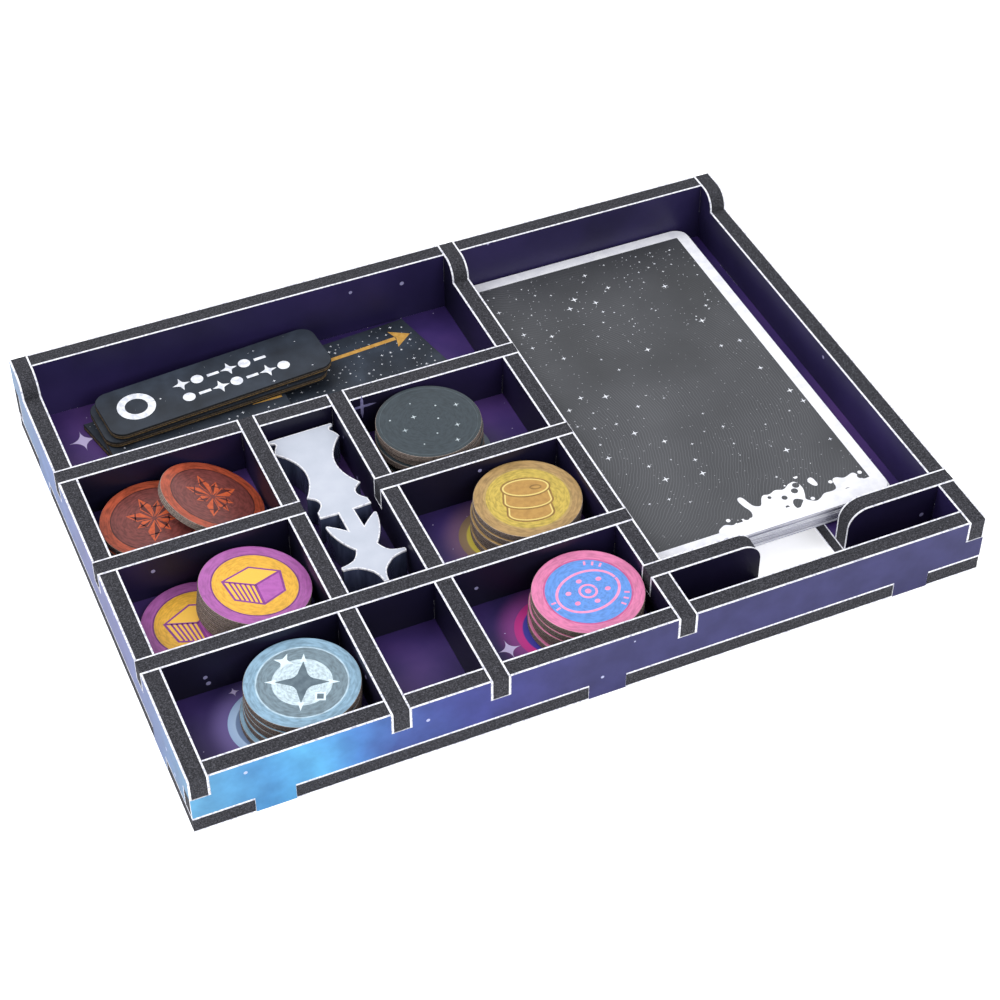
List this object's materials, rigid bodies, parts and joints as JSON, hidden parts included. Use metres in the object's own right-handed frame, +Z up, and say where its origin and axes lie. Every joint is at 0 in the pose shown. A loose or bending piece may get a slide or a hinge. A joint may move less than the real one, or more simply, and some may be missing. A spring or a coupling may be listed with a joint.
{
  "type": "board game organiser tray",
  "caption": "Open foam-board organiser tray for a board game, with walled bays that hold stacked round tokens, marker boards, a white marker and a pile of cards.",
  "frame": {"origin": "the middle of the tray's underside", "axes": "+X left to right along the long front wall, +Y front to back, +Z up"},
  "size_m": [0.209, 0.151, 0.0233],
  "materials": {
    "foam_board": "printed paper, satin",
    "orange_token_card": "satin",
    "purple_token_card": "satin",
    "blue_token_card": "satin",
    "slate_token_card": "satin",
    "gold_token_card": "satin",
    "pink_token_card": "satin",
    "marker_board_card": "satin",
    "white_marker_body": "gloss",
    "playing_card": "satin"
  },
  "bodies": {
    "tray": {"base_panel": "foam_board", "front_wall": "foam_board", "back_wall": "foam_board", "left_wall": "foam_board", "right_wall": "foam_board", "card_wall": "foam_board", "column_wall_left": "foam_board", "column_wall_right": "foam_board", "board_bay_wall": "foam_board", "cross_wall_front": "foam_board", "cross_wall_left": "foam_board", "cross_wall_right": "foam_board", "card_stop_left": "foam_board", "card_stop_right": "foam_board"},
    "orange_token_1_body": {"orange_token_1": "orange_token_card"},
    "orange_token_2_body": {"orange_token_2": "orange_token_card"},
    "orange_token_3_body": {"orange_token_3": "orange_token_card"},
    "orange_token_4_body": {"orange_token_4": "orange_token_card"},
    "purple_token_1_body": {"purple_token_1": "purple_token_card"},
    "purple_token_2_body": {"purple_token_2": "purple_token_card"},
    "purple_token_3_body": {"purple_token_3": "purple_token_card"},
    "purple_token_4_body": {"purple_token_4": "purple_token_card"},
    "purple_token_5_body": {"purple_token_5": "purple_token_card"},
    "blue_token_1_body": {"blue_token_1": "blue_token_card"},
    "blue_token_2_body": {"blue_token_2": "blue_token_card"},
    "blue_token_3_body": {"blue_token_3": "blue_token_card"},
    "blue_token_4_body": {"blue_token_4": "blue_token_card"},
    "blue_token_5_body": {"blue_token_5": "blue_token_card"},
    "slate_token_1_body": {"slate_token_1": "slate_token_card"},
    "slate_token_2_body": {"slate_token_2": "slate_token_card"},
    "slate_token_3_body": {"slate_token_3": "slate_token_card"},
    "slate_token_4_body": {"slate_token_4": "slate_token_card"},
    "slate_token_5_body": {"slate_token_5": "slate_token_card"},
    "slate_token_6_body": {"slate_token_6": "slate_token_card"},
    "gold_token_1_body": {"gold_token_1": "gold_token_card"},
    "gold_token_2_body": {"gold_token_2": "gold_token_card"},
    "gold_token_3_body": {"gold_token_3": "gold_token_card"},
    "gold_token_4_body": {"gold_token_4": "gold_token_card"},
    "gold_token_5_body": {"gold_token_5": "gold_token_card"},
    "pink_token_1_body": {"pink_token_1": "pink_token_card"},
    "pink_token_2_body": {"pink_token_2": "pink_token_card"},
    "pink_token_3_body": {"pink_token_3": "pink_token_card"},
    "pink_token_4_body": {"pink_token_4": "pink_token_card"},
    "pink_token_5_body": {"pink_token_5": "pink_token_card"},
    "arrow_board_body": {"arrow_board": "marker_board_card"},
    "dash_board_body": {"dash_board": "marker_board_card"},
    "ring_board_lower_body": {"ring_board_lower": "marker_board_card"},
    "ring_board_upper_body": {"ring_board_upper": "marker_board_card"},
    "white_marker_body": {"white_marker": "white_marker_body"},
    "card_deck_body": {"card_deck": "playing_card"},
    "top_card_body": {"top_card": "playing_card"}
  },
  "joints": [
    {"name": "lift_orange_token_1", "type": "slide", "parent": "tray", "child": "orange_token_1_body", "axis": [0, 0, 1], "range_m": [0, 0.025]},
    {"name": "lift_orange_token_2", "type": "slide", "parent": "orange_token_1_body", "child": "orange_token_2_body", "axis": [0, 0, 1], "range_m": [0, 0.025]},
    {"name": "lift_orange_token_3", "type": "slide", "parent": "orange_token_2_body", "child": "orange_token_3_body", "axis": [0, 0, 1], "range_m": [0, 0.025]},
    {"name": "lift_orange_token_4", "type": "slide", "parent": "orange_token_3_body", "child": "orange_token_4_body", "axis": [0, 0, 1], "range_m": [0, 0.025]},
    {"name": "lift_purple_token_1", "type": "slide", "parent": "tray", "child": "purple_token_1_body", "axis": [0, 0, 1], "range_m": [0, 0.025]},
    {"name": "lift_purple_token_2", "type": "slide", "parent": "purple_token_1_body", "child": "purple_token_2_body", "axis": [0, 0, 1], "range_m": [0, 0.025]},
    {"name": "lift_purple_token_3", "type": "slide", "parent": "purple_token_2_body", "child": "purple_token_3_body", "axis": [0, 0, 1], "range_m": [0, 0.025]},
    {"name": "lift_purple_token_4", "type": "slide", "parent": "purple_token_3_body", "child": "purple_token_4_body", "axis": [0, 0, 1], "range_m": [0, 0.025]},
    {"name": "lift_purple_token_5", "type": "slide", "parent": "purple_token_4_body", "child": "purple_token_5_body", "axis": [0, 0, 1], "range_m": [0, 0.025]},
    {"name": "lift_blue_token_1", "type": "slide", "parent": "tray", "child": "blue_token_1_body", "axis": [0, 0, 1], "range_m": [0, 0.025]},
    {"name": "lift_blue_token_2", "type": "slide", "parent": "blue_token_1_body", "child": "blue_token_2_body", "axis": [0, 0, 1], "range_m": [0, 0.025]},
    {"name": "lift_blue_token_3", "type": "slide", "parent": "blue_token_2_body", "child": "blue_token_3_body", "axis": [0, 0, 1], "range_m": [0, 0.025]},
    {"name": "lift_blue_token_4", "type": "slide", "parent": "blue_token_3_body", "child": "blue_token_4_body", "axis": [0, 0, 1], "range_m": [0, 0.025]},
    {"name": "lift_blue_token_5", "type": "slide", "parent": "blue_token_4_body", "child": "blue_token_5_body", "axis": [0, 0, 1], "range_m": [0, 0.025]},
    {"name": "lift_slate_token_1", "type": "slide", "parent": "tray", "child": "slate_token_1_body", "axis": [0, 0, 1], "range_m": [0, 0.025]},
    {"name": "lift_slate_token_2", "type": "slide", "parent": "slate_token_1_body", "child": "slate_token_2_body", "axis": [0, 0, 1], "range_m": [0, 0.025]},
    {"name": "lift_slate_token_3", "type": "slide", "parent": "slate_token_2_body", "child": "slate_token_3_body", "axis": [0, 0, 1], "range_m": [0, 0.025]},
    {"name": "lift_slate_token_4", "type": "slide", "parent": "slate_token_3_body", "child": "slate_token_4_body", "axis": [0, 0, 1], "range_m": [0, 0.025]},
    {"name": "lift_slate_token_5", "type": "slide", "parent": "slate_token_4_body", "child": "slate_token_5_body", "axis": [0, 0, 1], "range_m": [0, 0.025]},
    {"name": "lift_slate_token_6", "type": "slide", "parent": "slate_token_5_body", "child": "slate_token_6_body", "axis": [0, 0, 1], "range_m": [0, 0.025]},
    {"name": "lift_gold_token_1", "type": "slide", "parent": "tray", "child": "gold_token_1_body", "axis": [0, 0, 1], "range_m": [0, 0.025]},
    {"name": "lift_gold_token_2", "type": "slide", "parent": "gold_token_1_body", "child": "gold_token_2_body", "axis": [0, 0, 1], "range_m": [0, 0.025]},
    {"name": "lift_gold_token_3", "type": "slide", "parent": "gold_token_2_body", "child": "gold_token_3_body", "axis": [0, 0, 1], "range_m": [0, 0.025]},
    {"name": "lift_gold_token_4", "type": "slide", "parent": "gold_token_3_body", "child": "gold_token_4_body", "axis": [0, 0, 1], "range_m": [0, 0.025]},
    {"name": "lift_gold_token_5", "type": "slide", "parent": "gold_token_4_body", "child": "gold_token_5_body", "axis": [0, 0, 1], "range_m": [0, 0.025]},
    {"name": "lift_pink_token_1", "type": "slide", "parent": "tray", "child": "pink_token_1_body", "axis": [0, 0, 1], "range_m": [0, 0.025]},
    {"name": "lift_pink_token_2", "type": "slide", "parent": "pink_token_1_body", "child": "pink_token_2_body", "axis": [0, 0, 1], "range_m": [0, 0.025]},
    {"name": "lift_pink_token_3", "type": "slide", "parent": "pink_token_2_body", "child": "pink_token_3_body", "axis": [0, 0, 1], "range_m": [0, 0.025]},
    {"name": "lift_pink_token_4", "type": "slide", "parent": "pink_token_3_body", "child": "pink_token_4_body", "axis": [0, 0, 1], "range_m": [0, 0.025]},
    {"name": "lift_pink_token_5", "type": "slide", "parent": "pink_token_4_body", "child": "pink_token_5_body", "axis": [0, 0, 1], "range_m": [0, 0.025]},
    {"name": "lift_arrow_board", "type": "slide", "parent": "tray", "child": "arrow_board_body", "axis": [0, 0, 1], "range_m": [0, 0.025]},
    {"name": "lift_dash_board", "type": "slide", "parent": "arrow_board_body", "child": "dash_board_body", "axis": [0, 0, 1], "range_m": [0, 0.025]},
    {"name": "lift_ring_board_lower", "type": "slide", "parent": "dash_board_body", "child": "ring_board_lower_body", "axis": [0, 0, 1], "range_m": [0, 0.025]},
    {"name": "lift_ring_board_upper", "type": "slide", "parent": "ring_board_lower_body", "child": "ring_board_upper_body", "axis": [0, 0, 1], "range_m": [0, 0.025]},
    {"name": "lift_white_marker", "type": "slide", "parent": "tray", "child": "white_marker_body", "axis": [0, 0, 1], "range_m": [0, 0.025]},
    {"name": "lift_card_deck", "type": "slide", "parent": "tray", "child": "card_deck_body", "axis": [0, 0, 1], "range_m": [0, 0.025]},
    {"name": "lift_top_card", "type": "slide", "parent": "card_deck_body", "child": "top_card_body", "axis": [0, 0, 1], "range_m": [0, 0.025]}
  ]
}
